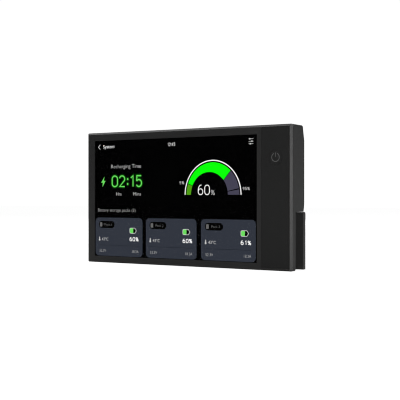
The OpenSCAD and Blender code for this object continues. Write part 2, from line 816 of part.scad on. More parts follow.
// Plate with a round top edge about the hinge axis, notched for the knuckles and for cables.
module stand() color([0.15, 0.15, 0.15]) placed() difference() {
    clear_r = stand_t / 2 + notch_clear;
    across(body_w) {
        translate([hinge_d, hinge_z]) circle(stand_t / 2);
        translate([stand_front, stand_bottom]) square([stand_t, hinge_z - stand_bottom]);
    }
    for (x = [-1, 1]) {
        x0 = x * hinge_x - knuckle_w / 2 - knuckle_gap;
        x1 = x * hinge_x + knuckle_w / 2 + knuckle_gap;
        rod_x(hinge_d, hinge_z, clear_r, x0, x1);
        block([x0, stand_front - over, hinge_z - clear_r], [x1, body_d + over, hinge_z + stand_t]);
        rod_x(hinge_d, hinge_z, pin_r, x * hinge_x - pin_half, x * hinge_x + pin_half);
        rod_y(x * magnet_x, magnet_z, magnet_r, stand_front - over, stand_front + magnet_t);
        stand_foot(x, 0);
    }
    for (x = [-pocket_x1, pocket_x0])
        block([x, stand_front - over, pocket_z0],
            [x + pocket_x1 - pocket_x0, stand_front + pocket_depth, pocket_z1]);
    upright(0, stand_bottom, notch_w, 2 * notch_h, notch_r, stand_front - over, body_d + over);
}

// Rubber strip along one half of the stand's lower edge, smaller all round by a gap.
module stand_foot(side, gap) {
    w = stand_foot_x1 - stand_foot_x0;
    translate([side * (stand_foot_x0 + w / 2), hinge_d, stand_bottom - stand_foot_drop])
        linear_extrude(stand_foot_drop + stand_foot_t)
            rounded(w - 2 * gap, stand_foot_w - 2 * gap, stand_foot_r);
}

// Rubber strips let into the stand's lower edge, on each side of the cable notch.
module stand_feet() color([0.07, 0.07, 0.07]) placed() for (x = [-1, 1]) stand_foot(x, stand_foot_gap);

// Magnets in the stand, facing those in the block.
module stand_magnets() color([0.75, 0.75, 0.78]) placed() for (x = [-1, 1])
    rod_y(x * magnet_x, magnet_z, magnet_r, stand_front + magnet_sink, stand_front + magnet_t);

// Steel pin, pressed into the stand on both sides of a knuckle.
module hinge_pin(x) {
    rod_x(hinge_d, hinge_z, pin_r, x - pin_half, x + pin_half);
}

// Bush pressed into a knuckle, in which the pin turns.
module hinge_bush(x) {
    difference() {
        rod_x(hinge_d, hinge_z, bush_r, x - knuckle_w / 2, x + knuckle_w / 2);
        rod_x(hinge_d, hinge_z, pin_r + pin_clearance, x - knuckle_w, x + knuckle_w);
    }
}

module hinge_pin_left() color([0.7, 0.7, 0.72]) placed() hinge_pin(-hinge_x);

module hinge_pin_right() color([0.7, 0.7, 0.72]) placed() hinge_pin(hinge_x);

module hinge_bush_left() color([0.8, 0.65, 0.3]) placed() hinge_bush(-hinge_x);

module hinge_bush_right() color([0.8, 0.65, 0.3]) placed() hinge_bush(hinge_x);

front_frame();
cover_glass();
touch_sensor();
glass_gasket();
lcd_panel();
light_guide();
lcd_back_plate();
side_panel();
power_button();
power_icon();
switch_plunger();
power_switch();
button_board();
power_led();
rear_housing();
rating_label();
main_board();
board_parts();
processor_shield();
heat_spreader();
board_standoffs();
board_screws();
case_screws();
comm_socket_left();
comm_socket_right();
socket_contacts();
clock_battery();
battery_holder();
speaker();
radio_antenna();
display_ribbon();
touch_ribbon();
button_ribbon();
mount_inserts();
housing_magnets();
base_feet();
hinge_bush_left();
hinge_bush_right();
stand();
stand_feet();
stand_magnets();
hinge_pin_left();
hinge_pin_right();
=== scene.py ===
"""Looks of a touch console for a home battery system.

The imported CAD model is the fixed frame. This script gives every CAD node a procedural finish,
draws the display's picture as thin closed solids in front of the display cell, under the glass,
and sets up a pale studio with a camera. Lengths are metres unless a name ends in _mm.
"""

import logging
import math
from dataclasses import dataclass, field
from enum import Enum

import bmesh
import bpy
import numpy as np
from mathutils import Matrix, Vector


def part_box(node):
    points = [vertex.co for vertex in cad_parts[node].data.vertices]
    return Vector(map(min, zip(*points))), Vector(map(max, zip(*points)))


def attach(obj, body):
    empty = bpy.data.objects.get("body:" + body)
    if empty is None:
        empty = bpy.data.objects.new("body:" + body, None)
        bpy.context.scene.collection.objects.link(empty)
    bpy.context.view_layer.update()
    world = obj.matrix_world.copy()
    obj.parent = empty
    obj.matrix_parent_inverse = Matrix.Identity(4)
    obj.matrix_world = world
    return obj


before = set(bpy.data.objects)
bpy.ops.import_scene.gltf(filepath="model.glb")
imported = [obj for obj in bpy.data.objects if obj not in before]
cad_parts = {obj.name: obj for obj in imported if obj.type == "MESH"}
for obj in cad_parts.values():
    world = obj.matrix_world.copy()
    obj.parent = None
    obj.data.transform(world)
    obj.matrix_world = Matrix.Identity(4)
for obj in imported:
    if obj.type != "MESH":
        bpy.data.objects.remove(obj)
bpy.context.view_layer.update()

MM = 0.001
PICTURE_NODE = "lcd_panel"
PICTURE_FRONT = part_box(PICTURE_NODE)[0].y
SCREEN_CORNER = (-97.8, 6.35)
LOG = logging.getLogger("console")

BUMP_STRENGTH = 0.6
GRAIN_OCTAVES, BRUSH_OCTAVES, CLOUD_OCTAVES = 2, 3, 4
BRUSH_STRETCH = 0.02
SHARPEST_TURN = 0.6
TINY = 1e-12
WELD = 1e-7
LETTER_STEPS = 4


# ---- finishes ----


class Pattern(Enum):
    """How a finish breaks up its colour."""

    CLOUD = "cloud"
    BRUSHED_X = "brushed_x"
    BRUSHED_Z = "brushed_z"
    SPECKLE = "speckle"


@dataclass(frozen=True)
class Finish:
    """A solid finish: a colour pattern, a roughness pattern and a fine bump.

    Attributes:
        name: material name.
        colour: base colour, linear.
        shift: how far the pattern lightens and darkens the colour, as a share.
        pattern: how the colour is broken up.
        size_mm: size of the pattern's features.
        rough: lowest and highest roughness.
        grain_mm: size of the bump's grains.
        bump_mm: height of the bump.
        metallic: metalness.
        specular: the shader's specular level.
        sheen: weight of the dust-like sheen.
        alpha: how solid the finish is.
    """

    name: str
    colour: tuple[float, float, float]
    shift: float = 0.10
    pattern: Pattern = Pattern.CLOUD
    size_mm: float = 6.0
    rough: tuple[float, float] = (0.45, 0.55)
    grain_mm: float = 0.35
    bump_mm: float = 0.01
    metallic: float = 0.0
    specular: float = 0.5
    sheen: float = 0.0
    alpha: float = 1.0

    def build(self) -> bpy.types.Material:
        """Makes the material.

        Returns:
            The material, with one Principled shader fed by noise in object space.
        """
        material, nodes, links, shader = blank_material(self.name)
        place = nodes.new("ShaderNodeTexCoord").outputs["Object"]
        pattern = self._pattern(nodes, links, place)
        mix = nodes.new("ShaderNodeMix")
        mix.data_type = "RGBA"
        mix.inputs["A"].default_value = (*(c * (1 - self.shift) for c in self.colour), 1)
        mix.inputs["B"].default_value = (*(min(1, c * (1 + self.shift)) for c in self.colour), 1)
        links.new(pattern, mix.inputs["Factor"])
        links.new(mix.outputs["Result"], shader.inputs["Base Color"])
        spread = nodes.new("ShaderNodeMapRange")
        spread.inputs["To Min"].default_value, spread.inputs["To Max"].default_value = self.rough
        links.new(pattern, spread.inputs["Value"])
        links.new(spread.outputs["Result"], shader.inputs["Roughness"])
        grain = noise(nodes, links, place, 1 / (self.grain_mm * MM), GRAIN_OCTAVES)
        bump = nodes.new("ShaderNodeBump")
        bump.inputs["Strength"].default_value = BUMP_STRENGTH
        bump.inputs["Distance"].default_value = self.bump_mm * MM
        links.new(grain, bump.inputs["Height"])
        links.new(bump.outputs["Normal"], shader.inputs["Normal"])
        shader.inputs["Metallic"].default_value = self.metallic
        shader.inputs["Specular IOR Level"].default_value = self.specular
        shader.inputs["Sheen Weight"].default_value = self.sheen
        shader.inputs["Alpha"].default_value = self.alpha
        return material

    def _pattern(
        self, nodes: bpy.types.Nodes, links: bpy.types.NodeLinks, place: bpy.types.NodeSocket
    ) -> bpy.types.NodeSocket:
        """Makes the value from 0 to 1 that breaks up the colour.

        Args:
            nodes: the material's nodes.
            links: the material's links.
            place: the coordinates to read.

        Returns:
            The socket that carries the value.
        """
        scale = 1 / (self.size_mm * MM)
        if self.pattern in (Pattern.BRUSHED_X, Pattern.BRUSHED_Z):
            stretch = nodes.new("ShaderNodeMapping")
            across_x = self.pattern is Pattern.BRUSHED_X
            stretch.inputs["Scale"].default_value = (
                (BRUSH_STRETCH, 1, 1) if across_x else (1, 1, BRUSH_STRETCH))
            links.new(place, stretch.inputs["Vector"])
            return noise(nodes, links, stretch.outputs["Vector"], scale, BRUSH_OCTAVES)
        if self.pattern is Pattern.SPECKLE:
            cells = nodes.new("ShaderNodeTexVoronoi")
            cells.inputs["Scale"].default_value = scale
            links.new(place, cells.inputs["Vector"])
            return cells.outputs["Distance"]
        return noise(nodes, links, place, scale, CLOUD_OCTAVES)


@dataclass(frozen=True)
class Board:
    """Green solder mask over copper traces that follow a fine grid.

    Attributes:
        name: material name.
        mask: colour between the traces, linear.
        trace: colour over the traces, linear.
        pitch_mm: distance between traces.
        edge: where a cell's middle ends and its trace begins, as shares of the pitch.
        bump_mm: how far the traces stand up.
        rough: roughness of the mask.
        coat: weight of the mask's clear coat.
    """

    name: str
    mask: tuple[float, float, float] = (0.006, 0.045, 0.018)
    trace: tuple[float, float, float] = (0.016, 0.095, 0.038)
    pitch_mm: float = 3.0
    edge: tuple[float, float] = (0.30, 0.34)
    bump_mm: float = 0.03
    rough: float = 0.35
    coat: float = 0.4

    def build(self) -> bpy.types.Material:
        """Makes the material.

        Returns:
            The material, whose traces are the edges of square cells.
        """
        material, nodes, links, shader = blank_material(self.name)
        place = nodes.new("ShaderNodeTexCoord").outputs["Object"]
        cells = nodes.new("ShaderNodeTexVoronoi")
        cells.distance = "CHEBYCHEV"
        cells.feature = "F1"
        cells.inputs["Scale"].default_value = 1 / (self.pitch_mm * MM)
        links.new(place, cells.inputs["Vector"])
        edge = nodes.new("ShaderNodeMapRange")
        edge.inputs["From Min"].default_value, edge.inputs["From Max"].default_value = self.edge
        links.new(cells.outputs["Distance"], edge.inputs["Value"])
        mix = nodes.new("ShaderNodeMix")
        mix.data_type = "RGBA"
        mix.inputs["A"].default_value = (*self.mask, 1)
        mix.inputs["B"].default_value = (*self.trace, 1)
        links.new(edge.outputs["Result"], mix.inputs["Factor"])
        links.new(mix.outputs["Result"], shader.inputs["Base Color"])
        bump = nodes.new("ShaderNodeBump")
        bump.inputs["Distance"].default_value = self.bump_mm * MM
        links.new(edge.outputs["Result"], bump.inputs["Height"])
        links.new(bump.outputs["Normal"], shader.inputs["Normal"])
        shader.inputs["Roughness"].default_value = self.rough
        shader.inputs["Coat Weight"].default_value = self.coat
        return material


@dataclass(frozen=True)
class Glow:
    """A lit colour of the display's picture.

    Attributes:
        name: material name.
        colour: the light's colour, linear.
        strength: the light's strength.
        base: lowest and highest brightness of the unlit base, as shares of the colour.
        cloud_mm: size of the base's features.
        rough: roughness of the base.
    """

    name: str
    colour: tuple[float, float, float]
    strength: float = 1.0
    base: tuple[float, float] = (0.010, 0.020)
    cloud_mm: float = 0.5
    rough: float = 0.6

    def build(self) -> bpy.types.Material:
        """Makes the material.

        Returns:
            The material: a plain light over a nearly black, faintly uneven base.
        """
        material, nodes, links, shader = blank_material(self.name)
        place = nodes.new("ShaderNodeTexCoord").outputs["Object"]
        cloud = noise(nodes, links, place, 1 / (self.cloud_mm * MM), GRAIN_OCTAVES)
        mix = nodes.new("ShaderNodeMix")
        mix.data_type = "RGBA"
        for side, share in zip("AB", self.base):
            mix.inputs[side].default_value = (*(share * c for c in self.colour), 1)
        links.new(cloud, mix.inputs["Factor"])
        links.new(mix.outputs["Result"], shader.inputs["Base Color"])
        shader.inputs["Roughness"].default_value = self.rough
        shader.inputs["Specular IOR Level"].default_value = 0.0
        shader.inputs["Emission Color"].default_value = (*self.colour, 1)
        shader.inputs["Emission Strength"].default_value = self.strength
        return material


def blank_material(
    name: str,
) -> tuple[bpy.types.Material, bpy.types.Nodes, bpy.types.NodeLinks, bpy.types.Node]:
    """Makes a material that holds one Principled shader and its output.

    Args:
        name: material name.

    Returns:
        The material, its nodes, its links and the shader.
    """
    material = bpy.data.materials.new(name)
    material.use_nodes = True
    nodes, links = material.node_tree.nodes, material.node_tree.links
    shader = next(n for n in nodes if n.type == "BSDF_PRINCIPLED")
    return material, nodes, links, shader


def noise(
    nodes: bpy.types.Nodes,
    links: bpy.types.NodeLinks,
    place: bpy.types.NodeSocket,
    scale: float,
    detail: int,
) -> bpy.types.NodeSocket:
    """Adds a noise texture.

    Args:
        nodes: the material's nodes.
        links: the material's links.
        place: the coordinates to read.
        scale: features per metre.
        detail: octaves.

    Returns:
        The noise's value.
    """
    texture = nodes.new("ShaderNodeTexNoise")
    texture.inputs["Scale"].default_value = scale
    texture.inputs["Detail"].default_value = detail
    links.new(place, texture.inputs["Vector"])
    return texture.outputs[0]


def grey(level: float) -> tuple[float, float, float]:
    """Linear colour of a grey.

    Args:
        level: its level on a screen, from 0 to 255.

    Returns:
        Red, green and blue, linear.
    """
    return (linear(level),) * 3


def linear(level: float) -> float:
    """Light of one screen level, by the usual display curve.

    The curve is a straight line near black and a power of 2.4 above it.

    Args:
        level: the level, from 0 to 255.

    Returns:
        The light, from 0 to 1.
    """
    share = max(0.0, level) / 255
    return share / 12.92 if share <= 0.04045 else ((share + 0.055) / 1.055) ** 2.4


def colour(red: float, green: float, blue: float) -> tuple[float, float, float]:
    """Linear colour of three screen levels.

    Args:
        red: red's level, from 0 to 255.
        green: green's level.
        blue: blue's level.

    Returns:
        Red, green and blue, linear.
    """
    return (linear(red), linear(green), linear(blue))


# ---- finishes of the CAD nodes ----


@dataclass
class Housing:
    """Finishes of every CAD node, one method for each group of nodes.

    Attributes:
        cache: the materials built so far, by finish name.
    """

    cache: dict[str, bpy.types.Material] = field(default_factory=dict)

    def dress(self, finish: Finish | Board | Glow, *names: str) -> None:
        """Gives CAD nodes a finish in all their slots.

        Args:
            finish: the finish to build once.
            names: CAD node names.
        """
        material = self.cache.get(finish.name) or finish.build()
        self.cache[finish.name] = material
        for name in names:
            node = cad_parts[name]
            if not node.material_slots:
                node.data.materials.append(material)
            for socket in node.material_slots:
                socket.material = material
            LOG.info("finish %s on %s", finish.name, name)

    def case(self) -> None:
        """Dresses the moulded case: frame, strip, rear housing, stand and rubber."""
        self.dress(Finish("frame_plastic", (0.0145, 0.0145, 0.0143), rough=(0.42, 0.50)),
                   "front_frame")
        for name, node in (("strip_plastic", "side_panel"), ("button_plastic", "power_button")):
            self.dress(Finish(name, (0.0098, 0.0098, 0.0096), rough=(0.50, 0.57), specular=0.36),
                       node)
        self.dress(Finish("icon_light", grey(84), shift=0.05, rough=(0.4, 0.5)), "power_icon")
        self.dress(Finish("housing_plastic", (0.0200, 0.0200, 0.0197), rough=(0.48, 0.58),
                          grain_mm=0.5, bump_mm=0.018), "rear_housing")
        self.dress(Finish("stand_plastic", (0.0260, 0.0260, 0.0256), rough=(0.46, 0.56),
                          grain_mm=0.5, bump_mm=0.018), "stand")
        self.dress(Finish("foot_rubber", (0.0095, 0.0095, 0.0095), rough=(0.75, 0.9), grain_mm=0.3,
                          bump_mm=0.03, sheen=0.15), "base_feet", "stand_feet")
        self.dress(Finish("label", grey(74), shift=0.06, rough=(0.5, 0.6), grain_mm=0.25,
                          bump_mm=0.004), "rating_label")

    def display(self) -> None:
        """Dresses the display's stack, from the glass to the back plate."""
        self.dress(Finish("cover_glass", (0.0004, 0.0004, 0.0005), shift=0.2, size_mm=40,
                          rough=(0.04, 0.06), specular=0.15, grain_mm=20, bump_mm=0.001,
                          alpha=0.06),
                   "cover_glass")
        self.dress(Finish("touch_film", (0.002, 0.002, 0.0025), shift=0.3, size_mm=4,
                          rough=(0.2, 0.3), specular=0.02, bump_mm=0.001, alpha=0.03),
                   "touch_sensor")
        self.dress(Finish("display_cell", (0.0003, 0.0003, 0.0004), shift=0.3, size_mm=30,
                          rough=(0.5, 0.6), specular=0.02, bump_mm=0.001), "lcd_panel")
        self.dress(Finish("foam", (0.008, 0.008, 0.008), shift=0.4, pattern=Pattern.SPECKLE,
                          size_mm=0.4, rough=(0.85, 0.95), grain_mm=0.3, bump_mm=0.05),
                   "glass_gasket")
        self.dress(Finish("light_guide", (0.75, 0.78, 0.80), shift=0.05, size_mm=2,
                          rough=(0.15, 0.25), bump_mm=0.004), "light_guide")
        self.dress(Finish("tray_steel", (0.42, 0.43, 0.44), pattern=Pattern.BRUSHED_X, size_mm=0.3,
                          rough=(0.3, 0.45), metallic=1.0, bump_mm=0.004),
                   "lcd_back_plate", "processor_shield")

    def electronics(self) -> None:
        """Dresses the boards, what stands on them and the ribbons."""
        self.dress(Board("circuit_board"), "main_board", "button_board")
        self.dress(Finish("chip_plastic", (0.012, 0.012, 0.013), shift=0.25, size_mm=1,
                          rough=(0.5, 0.65), bump_mm=0.02), "board_parts")
        self.dress(Finish("lamp", (0.75, 0.76, 0.70), shift=0.05, size_mm=1, rough=(0.1, 0.2)),
                   "power_led")
        self.dress(Finish("spreader_aluminium", (0.60, 0.61, 0.62), pattern=Pattern.BRUSHED_Z,
                          size_mm=0.3, rough=(0.3, 0.45), metallic=1.0, bump_mm=0.006),
                   "heat_spreader")
        self.dress(Finish("socket_plastic", (0.010, 0.010, 0.011), shift=0.15, size_mm=3,
                          rough=(0.45, 0.55), bump_mm=0.012),
                   "comm_socket_left", "comm_socket_right", "battery_holder", "speaker")
        self.dress(Finish("gold_contact", (0.85, 0.60, 0.22), pattern=Pattern.BRUSHED_Z,
                          size_mm=0.2, rough=(0.18, 0.28), metallic=1.0, bump_mm=0.001),
                   "socket_contacts")
        self.dress(Finish("cell_steel", (0.55, 0.55, 0.54), pattern=Pattern.BRUSHED_X, size_mm=0.25,
                          rough=(0.22, 0.35), metallic=1.0, bump_mm=0.002), "clock_battery")
        self.dress(Finish("flex_film", (0.32, 0.13, 0.03), shift=0.2, size_mm=1.2,
                          rough=(0.3, 0.4), bump_mm=0.006),
                   "radio_antenna", "display_ribbon", "touch_ribbon", "button_ribbon")
        self.dress(Finish("switch_plastic", (0.03, 0.03, 0.032), rough=(0.4, 0.5)),
                   "switch_plunger")
        self.dress(Finish("switch_metal", (0.50, 0.50, 0.50), pattern=Pattern.BRUSHED_X,
                          size_mm=0.3, rough=(0.3, 0.4), metallic=1.0, bump_mm=0.003),
                   "power_switch")

    def fixings(self) -> None:
        """Dresses the metal fixings: inserts, bushes, screws, pins and magnets."""
        self.dress(Finish("brass", (0.58, 0.40, 0.14), pattern=Pattern.BRUSHED_X, size_mm=0.25,
                          rough=(0.25, 0.4), metallic=1.0, bump_mm=0.004),
                   "board_standoffs", "mount_inserts", "hinge_bush_left", "hinge_bush_right")
        self.dress(Finish("screw_steel", (0.55, 0.55, 0.56), size_mm=0.6, rough=(0.25, 0.38),
                          metallic=1.0, bump_mm=0.004), "board_screws")
        self.dress(Finish("dark_screw", (0.05, 0.05, 0.052), size_mm=0.6, rough=(0.3, 0.45),
                          metallic=0.9, bump_mm=0.006), "case_screws")
        self.dress(Finish("magnet_nickel", (0.50, 0.49, 0.46), pattern=Pattern.SPECKLE,
                          size_mm=0.5, rough=(0.18, 0.3), metallic=1.0, bump_mm=0.003),
                   "housing_magnets", "stand_magnets")
        self.dress(Finish("pin_steel", (0.50, 0.50, 0.51), pattern=Pattern.BRUSHED_X, size_mm=0.2,
                          rough=(0.18, 0.3), metallic=1.0, bump_mm=0.002),
                   "hinge_pin_left", "hinge_pin_right")

    def build(self) -> None:
        """Dresses every CAD node."""
        self.case()
        self.display()
        self.electronics()
        self.fixings()
        left = sorted(set(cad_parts) - self._dressed())
        LOG.info("CAD nodes without a finish of their own: %s", left)

    def _dressed(self) -> set[str]:
        """Names of the CAD nodes whose slots all hold a finish built here."""
        mine = set(self.cache.values())
        return {
            name for name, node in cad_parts.items()
            if node.material_slots and all(s.material in mine for s in node.material_slots)
        }


# ---- the display's picture ----


class Layer(Enum):
    """Heights of the picture's solids over the display cell: front and back, in millimetres."""

    HAZE = (0.007, 0.002)
    CARD = (0.014, 0.009)
    MARK = (0.026, 0.016)
    TEXT = (0.040, 0.028)
    RIM = (0.054, 0.042)


@dataclass
class Drawing:
    """Flat closed solids of one colour in the display's picture.

    A point of the picture is (u, v) in millimetres from the lit area's lower left corner. The
    solids stand just in front of the display cell.

    Attributes:
        name: piece name.
        glow: the colour that the solids shine in.
        points: arrays of corners, one for each solid added.
        faces: faces, as tuples of indices into all the points.
    """

    name: str
    glow: Glow
    points: list[np.ndarray] = field(default_factory=list)
    faces: list[tuple[int, ...]] = field(default_factory=list)

    def prism(self, outline: np.ndarray, layer: Layer) -> None:
        """Adds a solid with an outline.

        Args:
            outline: corners (n, 2), counter-clockwise as the viewer sees them.
            layer: its heights.
        """
        count, start = len(outline), self._start()
        self.points.append(np.vstack([lift(outline, height) for height in layer.value]))
        ring = np.arange(count)
        after = np.roll(ring, -1)
        self.faces.append(tuple(start + ring))
        self.faces.append(tuple(start + count + ring[::-1]))
        self.faces += [tuple(q) for q in
                       start + np.stack([ring, ring + count, after + count, after], axis=1)]

    def ring(self, outer: np.ndarray, inner: np.ndarray, layer: Layer) -> None:
        """Adds a solid ring between two outlines with as many corners as each other.

        Args:
            outer: outer corners (n, 2), counter-clockwise.
            inner: inner corners (n, 2), counter-clockwise.
            layer: its heights.
        """
        count, start = len(outer), self._start()
        front, back = layer.value
        self.points.append(np.vstack([lift(outer, front), lift(inner, front),
                                      lift(outer, back), lift(inner, back)]))
        a = np.arange(count)
        b = np.roll(a, -1)
        quads = [
            np.stack([a, b, b + count, a + count], axis=1),
            np.stack([a + 2 * count, a + 3 * count, b + 3 * count, b + 2 * count], axis=1),
            np.stack([a, a + 2 * count, b + 2 * count, b], axis=1),
            np.stack([a + count, b + count, b + 3 * count, a + 3 * count], axis=1),
        ]
        self.faces += [tuple(q) for q in start + np.vstack(quads)]

    def stroke(self, path: np.ndarray, width: float, layer: Layer, closed: bool = False) -> None:
        """Adds a line of even width along a path.

        Each corner's offset is along the mean of its two normals, lengthened so that the line
        keeps its width.

        Args:
            path: points (n, 2).
            width: width in millimetres.
            layer: its heights.
            closed: whether the last point joins the first.
        """
        if closed:
            self.ring(offset(path, -width / 2, True), offset(path, width / 2, True), layer)
            return
        left, right = offset(path, width / 2, False), offset(path, -width / 2, False)
        self.prism(np.vstack([right, left[::-1]]), layer)

    def words(
        self, text: str, left: float, right: float, base: float, height: float, layer: Layer,
        weight: float = 0.0,
    ) -> None:
        """Adds lettering that fills a width.

        Args:
            text: what it says.
            left: left edge in millimetres.
            right: right edge.
            base: height of its base line.
            height: height of its capitals.
            layer: its heights.
            weight: how much bolder than the plain letters, as a share of their size.
        """
        flat, faces, capital = lettering(text, weight)
        low, high = flat[:, 0].min(), flat[:, 0].max()
        scale = np.array([(right - left) / (high - low), height / capital])
        placed = (flat[:, :2] - [low, 0]) * scale + [left, base]
        front, back = layer.value
        start = self._start()
        depth = np.where(flat[:, 2] > 0, front, back)
        self.points.append(lift(placed, depth))
        self.faces += [tuple(start + i for i in f) for f in faces]

    def _start(self) -> int:
        """Number of points so far."""
        return sum(len(p) for p in self.points)

    def build(self) -> bpy.types.Object:
        """Makes the piece.

        Returns:
            The piece, riding on the console.
        """
        piece = mesh_piece(self.name, np.vstack(self.points), self.faces, self.glow.build())
        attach(piece, "console")
        LOG.info("piece %s: %d faces", self.name, len(self.faces))
        return piece


def lift(flat: np.ndarray, rise: float | np.ndarray) -> np.ndarray:
    """Puts points of the picture in place in front of the display cell.

    x = corner + u, z = corner + v and y = cell's front - rise.

    Args:
        flat: points (n, 2) in millimetres.
        rise: height over the cell's front in millimetres, one value or one for each point.

    Returns:
        Points (n, 3) in metres.
    """
    flat = np.asarray(flat, float)
    y = PICTURE_FRONT - np.broadcast_to(np.asarray(rise, float), len(flat)) * MM
    return np.column_stack([(flat[:, 0] + SCREEN_CORNER[0]) * MM, y,
                            (flat[:, 1] + SCREEN_CORNER[1]) * MM])


def offset(path: np.ndarray, distance: float, closed: bool) -> np.ndarray:
    """Moves a path sideways.

    Each point moves along the mean of its two segments' left normals, divided by the cosine of
    half the turn, so that straight runs keep their distance. The cosine is taken as
    SHARPEST_TURN at least, so that a sharp corner has no spike.

    Args:
        path: points (n, 2).
        distance: how far to the left.
        closed: whether the last point joins the first.

    Returns:
        The moved points (n, 2).
    """
    path = np.asarray(path, float)
    step = np.roll(path, -1, axis=0) - path
    step /= np.linalg.norm(step, axis=1, keepdims=True) + TINY
    normal = np.column_stack([-step[:, 1], step[:, 0]])
    before = np.roll(normal, 1, axis=0)
    if not closed:
        normal[-1] = normal[-2]
        before[0] = normal[0]
    mean = normal + before
    mean /= np.linalg.norm(mean, axis=1, keepdims=True) + TINY
    stretch = np.clip((mean * normal).sum(axis=1, keepdims=True), SHARPEST_TURN, 1)
    return path + mean / stretch * distance


def arc(centre: tuple[float, float], radius: float, start: float, end: float,
        count: int = 48) -> np.ndarray:
    """Points of an arc: centre + radius × (cosine, sine) of angles in equal steps.

    Args:
        centre: its centre.
        radius: its radius.
        start: first angle in degrees.
        end: last angle.
        count: number of points.

    Returns:
        Points (count, 2).
    """
    angle = np.radians(np.linspace(start, end, count))
    return np.column_stack([centre[0] + radius * np.cos(angle),
                            centre[1] + radius * np.sin(angle)])


def rounded(left: float, low: float, right: float, high: float, radius: float,
            steps: int = 8) -> np.ndarray:
    """Rectangle with round corners, four quarter arcs joined counter-clockwise.

    Args:
        left: left edge.
        low: lower edge.
        right: right edge.
        high: upper edge.
        radius: corner radius.
        steps: points for each corner.

    Returns:
        Points (4 * steps, 2).
    """
    return np.vstack([
        arc((right - radius, low + radius), radius, -90, 0, steps),
        arc((right - radius, high - radius), radius, 0, 90, steps),
        arc((left + radius, high - radius), radius, 90, 180, steps),
        arc((left + radius, low + radius), radius, 180, 270, steps),
    ])


def oval(x: float, y: float, wide: float, high: float, start: float, end: float,
         count: int = 24) -> np.ndarray:
    """Points of a part of an oval: centre + (wide cosine, high sine) of angles in equal steps.

    Args:
        x: its centre's first coordinate.
        y: its centre's second coordinate.
        wide: half its width.
        high: half its height.
        start: first angle in degrees.
        end: last angle.
        count: number of points.

    Returns:
        Points (count, 2).
    """
    return np.array([x, y]) + arc((0.0, 0.0), 1.0, start, end, count) * [wide, high]


RING = np.vstack([oval(0.5, 0.70, 0.5, 0.30, 0, 180), oval(0.5, 0.30, 0.5, 0.30, 180, 360)])
FIGURES: dict[str, list[tuple[np.ndarray, bool]]] = {
    "0": [(RING, True)],
    "1": [(np.array([[0.0, 0.80], [0.9, 1.0], [0.9, 0.0]]), False)],
    "2": [(np.vstack([oval(0.5, 0.71, 0.5, 0.29, 165, -32), [[0.02, 0.0], [1.0, 0.0]]]), False)],
    "5": [(np.array([[0.92, 1.0], [0.12, 1.0], [0.07, 0.50]]), False),
          (oval(0.48, 0.32, 0.5, 0.32, 145, -152), False)],
    "6": [(oval(0.5, 0.31, 0.5, 0.31, 0, 352.5, 48), True),
          (np.vstack([oval(0.62, 0.45, 0.62, 0.55, 82, 180), [[0.0, 0.31]]]), False)],
    "4": [(np.array([[0.72, 0.0], [0.72, 1.0], [0.0, 0.3], [1.0, 0.3]]), False)],
    "9": [(oval(0.5, 0.69, 0.5, 0.31, 0, 352.5, 48), True),
          (np.vstack([[[1.0, 0.69]], oval(0.38, 0.55, 0.62, 0.55, 0, -98)]), False)],
    ":": [(oval(0.5, 0.24, 0.3, 0.028, 0, 330, 12), True),
          (oval(0.5, 0.70, 0.3, 0.028, 0, 330, 12), True)],
    "%": [(oval(0.2, 0.78, 0.22, 0.22, 0, 345, 24), True),
          (oval(0.8, 0.22, 0.22, 0.22, 0, 345, 24), True),
          (np.array([[0.12, 0.0], [0.88, 1.0]]), False)],
}


def lettering(text: str, weight: float) -> tuple[np.ndarray, list[tuple[int, ...]], float]:
    """Turns text into a closed mesh one unit high and two units deep.

    Args:
        text: what it says.
        weight: how much bolder than the plain letters.

    Returns:
        Points (n, 3) with the front at z above 0, faces, and the height of a capital.
    """
    tops = []
    for words in ("H", text):
        curve = bpy.data.curves.new("lettering", "FONT")
        curve.body = words
        curve.extrude = 1.0
        curve.offset = weight
        curve.resolution_u = LETTER_STEPS
        shape = bpy.data.objects.new("lettering", curve)
        bpy.context.scene.collection.objects.link(shape)
        mesh = bpy.data.meshes.new_from_object(shape)
        co = np.empty(3 * len(mesh.vertices))
        mesh.vertices.foreach_get("co", co)
        tops.append((co.reshape(-1, 3), [tuple(p.vertices) for p in mesh.polygons]))
        bpy.data.objects.remove(shape)
        bpy.data.curves.remove(curve)
        bpy.data.meshes.remove(mesh)
    (capital, _), (points, faces) = tops
    return points, faces, float(capital[:, 1].max())


def mesh_piece(
    name: str, points: np.ndarray, faces: list[tuple[int, ...]], material: bpy.types.Material
) -> bpy.types.Object:
    """Makes a closed mesh object whose faces point outwards.

    Args:
        name: piece name.
        points: corners (n, 3) in metres.
        faces: faces, as tuples of indices.
        material: its material.

    Returns:
        The object, at the origin.
    """
    mesh = bpy.data.meshes.new(name)
    mesh.from_pydata(points.tolist(), [], [tuple(int(i) for i in f) for f in faces])
    work = bmesh.new()
    work.from_mesh(mesh)
    bmesh.ops.remove_doubles(work, verts=work.verts, dist=WELD)
    bmesh.ops.recalc_face_normals(work, faces=work.faces)
    work.to_mesh(mesh)
    work.free()
    mesh.materials.append(material)
    piece = bpy.data.objects.new(name, mesh)
    bpy.context.scene.collection.objects.link(piece)
    return piece


@dataclass(frozen=True)
class Label:
    """A row of lettering in the picture, in millimetres.

    Attributes:
        text: what it says.
        tone: name of its colour.
        left: its left edge.
        right: its right edge.
        base: height of its base line.
        height: height of its capitals.
        weight: how much bolder than the plain letters, as a share of their size.
    """

    text: str
    tone: str
    left: float
    right: float
    base: float
    height: float
    weight: float = 0.0

    def draw(self, ink: dict[str, Drawing], shift: float = 0.0) -> None:
        """Adds the row to the drawing of its colour.

        Args:
            ink: the drawings by colour.
            shift: how far to the right it goes.
        """
        ink[self.tone].words(self.text, self.left + shift, self.right + shift, self.base,
                             self.height, Layer.TEXT, self.weight)


